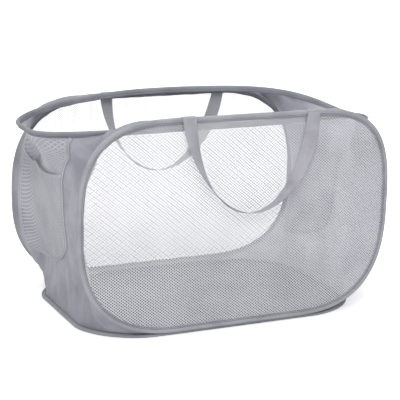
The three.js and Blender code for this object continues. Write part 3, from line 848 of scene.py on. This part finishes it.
# Slack of the whole cloth: height, and two crossing waves
cloth_waves = ((0.9, (9, 4, 0), (0, 7, 1.3)), (0.5, (23, -9, 0), (0, 11, 0.4)))
belly_power, edge_keep = 0.6, 16
# How the fan opens and sways, and where it shows
fan_foot, fan_opening, crease_opening, sway_height = 0.86, 0.24, 0.8, 0.012
fan_shows = ((1, 0.12, 0.3), (0.45, 0.95, 0.22))


def panel_folds(across, rise):
    """Height of the nylon: its belly, its creases and the puckers at its seams."""
    lift = (panel_belly * np.sin(math.pi * across) ** belly_power
            * np.sin(math.pi * rise ** 2) ** belly_power)
    fade = sum(share * crease(rise, middle, width) for share, middle, width in fan_shows)
    for place, width, height in panel_creases:
        middle = place * (fan_foot + fan_opening * rise)
        middle += sway_height * np.sin(7 * rise + 20 * place)
        lift += height * crease(across - 0.5, middle, width * (1 + crease_opening * rise)) * fade
    for place, height in seam_puckers:
        lift += height * np.sin(30 * rise + 22 * across) * crease(across, place, pucker_width)
    for height, *pair in cloth_waves:
        first, second = (np.sin(a * across + b * rise + c) for a, b, c in pair)
        lift += height * first * second
    edge = np.minimum.reduce([across, 1 - across, rise, 1 - rise])
    return lift * np.clip(edge * edge_keep, 0, 1)


# Pockets, each on one end panel, by shares of the panel's width and height

pocket_mouth, pocket_bottom = smooth_curve(mouth_shares), smooth_curve(bottom_shares)
dent_across, dent_up = (0.8, 0.14), (0.68, 0.16)
pocket_gap, pocket_fullness, pleat_share = 1.9, 5.5, 0.6
pocket_pleats = ((1.9, 0.72, 0.03), (-1.4, 0.33, 0.05), (1.2, 0.55, 0.03))
upper_net_gap, upper_net_lap = 1.3, 0.03
border_steps, border_side_steps, border_bottom_steps = 150, 50, 60
border_round, border_inset = 0.03, 0.035


class EndPanel:
    """One end's cloth and places on it, worked out as on the right end and mirrored last."""

    def __init__(self, side):
        self.turn = np.array([1 if side == "right" else -1, 1, 1])
        grid = panel_grid(self.turn[0])
        rise, across = grid_shares(grid)
        lift = panel_folds(across, rise) + (dent_depth * crease(across, *dent_across)
                                            * crease(rise, *dent_up))
        self.points = grid + grid_normals(grid) * lift[..., None]
        self.skin = grid_normals(self.points)

    def at(self, across, rise, distance=0):
        skin = unit(sample(self.skin, across, rise))
        distance = (distance + np.zeros_like(across))[..., None]
        return sample(self.points, across, rise) + skin * distance

    def across(self, share, level):
        """A share of the pocket's width as one of the panel's."""
        front = np.interp(level, pocket_front_levels, pocket_front_shares)
        return front * (1 - share) + pocket_back_share * share

    def pocket(self, share, rise):
        """The pocket's cloth stands off the panel, fullest at the mouth, with pleats."""
        full = (np.sin(np.clip(share, 0, 1) * math.pi) ** 0.8
                * np.sin(np.clip(rise, 0, 1) * math.pi / 2))
        pleats = sum(high * crease(share, middle, width) for high, middle, width in pocket_pleats)
        slack = 0.8 * np.sin(11 * share + 5 * rise) * np.sin(6 * rise)
        distance = pocket_gap + pocket_fullness * full + (pleats + slack) * pleat_share * full
        low, high = pocket_bottom(share), pocket_mouth(share)
        level = low + (high - low) * rise
        return self.at(self.across(share, level), level, distance)

    def upper_net(self, share, rise):
        """The same net above the mouth, flat on the panel."""
        low = pocket_mouth(share) - upper_net_lap
        level = low + (pocket_top_share - pocket_rear_drop * share ** 3 - low) * rise
        return self.at(self.across(share, level), level, upper_net_gap)

    def border(self):
        """The line down the pocket's front edge, round its bottom and up its rear edge."""
        foot = pocket_bottom(np.array([0, 1])) + border_round
        front = np.linspace((0, pocket_top_share), (0, foot[0]), border_side_steps)
        share = np.linspace(border_inset, 1 - border_inset, border_bottom_steps)
        bottom = table(share, pocket_bottom(share))
        rear = np.linspace((1, foot[1]), (1, pocket_top_share - pocket_rear_drop),
                           border_side_steps)
        share, level = resample(np.vstack([front, bottom, rear]), border_steps).T
        return self.across(share, level), level


ends = {side: EndPanel(side) for side in ("right", "left")}


# Handles: a loop of webbing whose faces turn from flat against the net to level below

handle_steps = 150
webbing_ribs, rib_depth, edge_round, edge_thin = 9, 0.14, 14, 0.35
tab_gap, tab_leg, tab_steps, hairpin_steps, level_run = 0.35, 5, 16, 9, 0.7


def handle_frames(sheet):
    level = sheet.top - tape_reach
    hang = handle_hangs[sheet.side]
    away = np.array([0, sheet.side, 0])
    axis = tape_reach + 2 * seam_gap + 1.5 * webbing_thickness
    angle = np.linspace(0, math.pi, handle_steps + 1)
    depth = np.sin(angle)
    lean = leg_taper * (1 - depth) * np.sign(np.cos(angle))
    x = -np.cos(angle) * (handle_spread / 2 - leg_taper) - lean
    centre = table(x, -hang * depth)
    along = unit(np.gradient(centre, axis=0))
    along[0], along[-1] = (0, -1), (0, 1)
    turn = -sheet.side * handle_twist * np.maximum(-centre[:, 1] - flat_start, 0)
    turn /= hang - flat_start
    stand = axis + (webbing_width / 2 - handle_lean) * np.abs(np.sin(turn))
    sine, cosine = np.sin(turn)[:, None], np.cos(turn)[:, None]
    in_plane = table(-along[:, 1], 0, along[:, 0])
    point = table(x + handle_shift, sheet.side * (hoop_spacing / 2 + stand),
                  level + centre[:, 1])
    return point, in_plane * cosine - away * sine, in_plane * sine + away * cosine


def webbing_section():
    """Across the strap: shallow ribs and rounded edges."""
    share = np.linspace(-1, 1, 4 * webbing_ribs + 1)
    ribs = 1 - rib_depth + rib_depth * np.cos(share * webbing_ribs * math.pi)
    top = webbing_thickness / 2 * ribs * np.clip((1 - np.abs(share)) * edge_round + edge_thin, 0, 1)
    upper = table(share * webbing_width / 2, top)
    return np.vstack([upper, (upper * (1, -1))[::-1][1:-1]])


def tab_mesh(name, sheet, sign):
    """The strap's end turned over the hoop, down both faces of the binding."""
    middle = handle_shift + sign * handle_spread / 2
    xs = np.linspace(middle - webbing_width / 2, middle + webbing_width / 2, tab_steps + 1)
    point, out, across, _ = sheet.frames()
    keep = out[:, 2] > level_run
    order = np.argsort(point[keep][:, 0])
    run = [v[keep][order] for v in (point, out, across)]
    at = [table(*(np.interp(xs, run[0][:, 0], column) for column in v.T)) for v in run]

    def hairpin(reach):
        arc = np.radians(np.linspace(90, -90, 2 * hairpin_steps + 1))
        leg = np.linspace(-tab_leg, 0, 4)[:-1]
        return np.array([(u, reach) for u in leg]
                        + [(reach * math.cos(a), reach * math.sin(a)) for a in arc]
                        + [(u, -reach) for u in leg[::-1]])

    inner = tape_reach + tab_gap
    section = np.vstack([hairpin(inner + webbing_thickness), hairpin(inner)[::-1]])
    return swept_mesh(name, at, section.T, webbing_cloth)


# Assembly

def dress(piece, body, replaced=None):
    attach(piece, body)
    if replaced:
        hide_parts(replaced)


def dress_folding(piece, replaced=None):
    """Cloth of the ends goes with the base, on a mesh of its own."""
    dress(piece, "base", replaced)
    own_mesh(piece)


def dress_loop(name, sheet, body, seed, material=binding_tape):
    binding = binding_mesh(f"{name}_folded_binding", sheet, material, seed)
    dress(binding, body, f"{name}_binding")
    dress(binding_stitches(f"{name}_stitching", sheet), body)


dress_loop("front_hoop", front_sheet, "front_side", 1)
dress_loop("back_hoop", back_sheet, "back_side", 5)
# The mouth ring gets the darker tape: painted shade.
dress_loop("top_ring", ring_sheet, "top_ring", 9, ring_tape_painted_shade)
dress_loop("bottom_ring", base_sheet, "base", 13)


def dress_net(side, sheet, seed):
    net, outline = net_panel(f"{side}_knitted_net", sheet, *net_sizes[side], seed)
    dress(net, f"{side}_side", f"{side}_net")
    tuple(np.ptp(outline, axis=0) * MM)
    mesh_area(net)


dress_net("front", front_sheet, 3)
dress_net("back", back_sheet, 4)


def dress_floor():
    floor = floor_mesh("nylon_floor")
    dress(floor, "base", "floor_panel")
    rim = floor_edge(floor_brim)[0] * MM
    line, level = floor_edge(floor_seam_reach)
    row = table(*line.T, level + floor_seam_height)
    # Wide dark thread round the floor's edge: the seam's stitching and a painted shadow along it.
    seam = sew("floor_seam_stitching_and_painted_shadow", [row], closed=True, length=4.5, width=3.0)
    dress(seam, "base")


dress_floor()


def tape_strip(name, line, normals, low, high, width):
    """A flat tape along a line, its faces at the heights low and high."""
    side = unit(np.cross(normals, unit(np.gradient(line, axis=0))))
    half = width / 2
    section = np.array([
        (-half, low), (-half + strip_bevel, high), (-half + strip_hem, high - strip_dip), (0, high),
        (half - strip_hem, high - strip_dip), (half - strip_bevel, high), (half, low), (0, low),
    ])
    return swept_mesh(name, (line, side, normals), section.T, pocket_tape)


def pocket_net(name, end, place, size):
    """A flat net laid over a part of the pocket, by shares of its size."""
    made = flat_net(name, square * size / 2, *pocket_diamond, pocket_opening, pocket_net_cloth)
    lay_on(made, lambda flat: place(*(flat / size + 0.5).T) * end.turn)
    return made


# The pockets' nets, laid flat
pocket_size, upper_net_size = np.array([235.0, 160.0]), np.array([235.0, 95.0])
pocket_diamond, pocket_opening = (10.5, 6.4), 0.66
# Their tapes' places, faces and edges
mouth_rises, mouth_steps, mouth_faces, mouth_width = (0.985, 0.93), 90, (-0.9, 0.9), 7.5
border_faces, border_width, border_stitch_height = (0.7, 3.0), 7, 3.1
strip_bevel, strip_hem, strip_dip = 0.4, 1.6, 0.25


def dress_pocket(side, end):
    for kind, place, size, held, replaced in (
            ("net_pocket", end.pocket, pocket_size, "gathered", f"{side}_pocket"),
            ("net_above_pocket", end.upper_net, upper_net_size, "stretched", None)):
        net = pocket_net(f"{side}_{kind}", end, place, size)
        dress_folding(net, replaced)
    share = np.linspace(0, 1, mouth_steps)
    edge, inside = (end.pocket(share, np.full(mouth_steps, rise)) for rise in mouth_rises)
    along = unit(np.gradient(edge, axis=0))
    mouth = tape_strip(f"{side}_pocket_binding", edge * end.turn,
                       unit(np.cross(along, edge - inside)) * end.turn, *mouth_faces, mouth_width)
    across, level = end.border()
    line = end.at(across, level)
    skin = unit(sample(end.skin, across, level))
    border = tape_strip(f"{side}_pocket_border", line * end.turn, skin * end.turn,
                        *border_faces, border_width)
    seam = sew(f"{side}_pocket_stitching", [end.at(across, level, border_stitch_height) * end.turn],
               pitch=4.2, length=3.0, width=0.6)
    dress_folding(mouth, f"{side}_pocket_trim")
    for piece in (border, seam):
        dress_folding(piece)


def dress_end(side):
    end = ends[side]
    grid = end.points * end.turn
    panel = band_mesh(f"{side}_nylon_end", grid[:, ::int(end.turn[0])], nylon_taffeta)
    dress_folding(panel, f"{side}_end_panel")
    width, height = (np.linalg.norm(np.diff(grid, axis=axis), axis=2).sum(axis=axis).mean()
                     for axis in (1, 0))
    dress_pocket(side, end)


dress_end("right")
dress_end("left")


def dress_handle(side, sheet):
    handle = swept_mesh(f"{side}_webbing_handle", handle_frames(sheet), webbing_section().T,
                        webbing_cloth)
    dress(handle, f"{side}_handle", f"{side}_handle")
    for label, sign in (("left", -1), ("right", 1)):
        tab = tab_mesh(f"{side}_{label}_webbing_end", sheet, sign)
        dress(tab, f"{side}_side", f"{side}_{label}_handle_tab")


dress_handle("front", front_sheet)
dress_handle("back", back_sheet)

for key, cad_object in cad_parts.items():
    for ending, metal in (("_wire", spring_steel), ("_ferrule", plated_steel)):
        for slot in cad_object.material_slots if key.endswith(ending) else ():
            slot.material = metal


# Studio

floor_reach = 6000
near_glow, soft_light = 0.5, 0.42


def seen_directly(add):
    """1 where the camera looks, straight, by a mirror or through something clear."""
    path = add("ShaderNodeLightPath").outputs
    seen = path["Is Camera Ray"]
    for kind in ("Is Glossy Ray", "Is Transmission Ray"):
        seen = add("ShaderNodeMath", {0: seen, 1: path[kind]}, operation="MAXIMUM")
    return seen


def studio_floor():
    """A pale sweep that keeps the hamper's own shadow and is plain white farther off."""
    material, add = new_material("white_studio_floor")
    diffuse = add("ShaderNodeBsdfDiffuse", {"Color": linear("#f4f4f4")})
    place = add("ShaderNodeTexCoord").outputs["Object"]
    distance = add("ShaderNodeVectorMath", {0: place}, operation="LENGTH").outputs["Value"]
    far = add("ShaderNodeMapRange", {
        "Value": distance, "From Min": 0.3, "From Max": 0.75, "To Min": near_glow, "To Max": 1.0})
    strength = add("ShaderNodeMath", {0: far, 1: seen_directly(add)}, operation="MULTIPLY")
    glow = add("ShaderNodeEmission", {"Color": linear("#ffffff"), "Strength": strength})
    sweep = add("ShaderNodeAddShader", {0: diffuse, 1: glow})
    add("ShaderNodeOutputMaterial", {"Surface": sweep})
    corners = table(*square.T, 0) * floor_reach
    mesh_object("studio_floor", corners, [(0, 1, 2, 3)], material)


def studio_world():
    """Even white light from all round, and a white background."""
    world = bpy.data.worlds.new("studio")
    scene.world = world
    world.use_nodes = True
    world.node_tree.nodes.clear()
    add = adder(world.node_tree)
    soft, white = (add("ShaderNodeBackground", {"Color": linear("#ffffff"), "Strength": strength})
                   for strength in (soft_light, 1.0))
    mixed = add("ShaderNodeMixShader", {0: seen_directly(add), 1: soft, 2: white})
    add("ShaderNodeOutputWorld", {"Surface": mixed})


def area_lamp(name, place, power, target=(0, 0, 0.2), size=1.4):
    data = bpy.data.lights.new(name, "AREA")
    data.shape = "SQUARE"
    data.size = size
    data.energy = power
    lamp = add_object(name, data)
    lamp.location = place
    lamp.rotation_euler = (Vector(target) - Vector(place)).to_track_quat("-Z", "Y").to_euler()


studio_floor()
studio_world()
area_lamp("soft_key", (-0.9, -2.2, 2.2), 38)
area_lamp("soft_overhead", (-0.2, 0.1, 2.7), 22)
scene.view_settings.view_transform = "Standard"
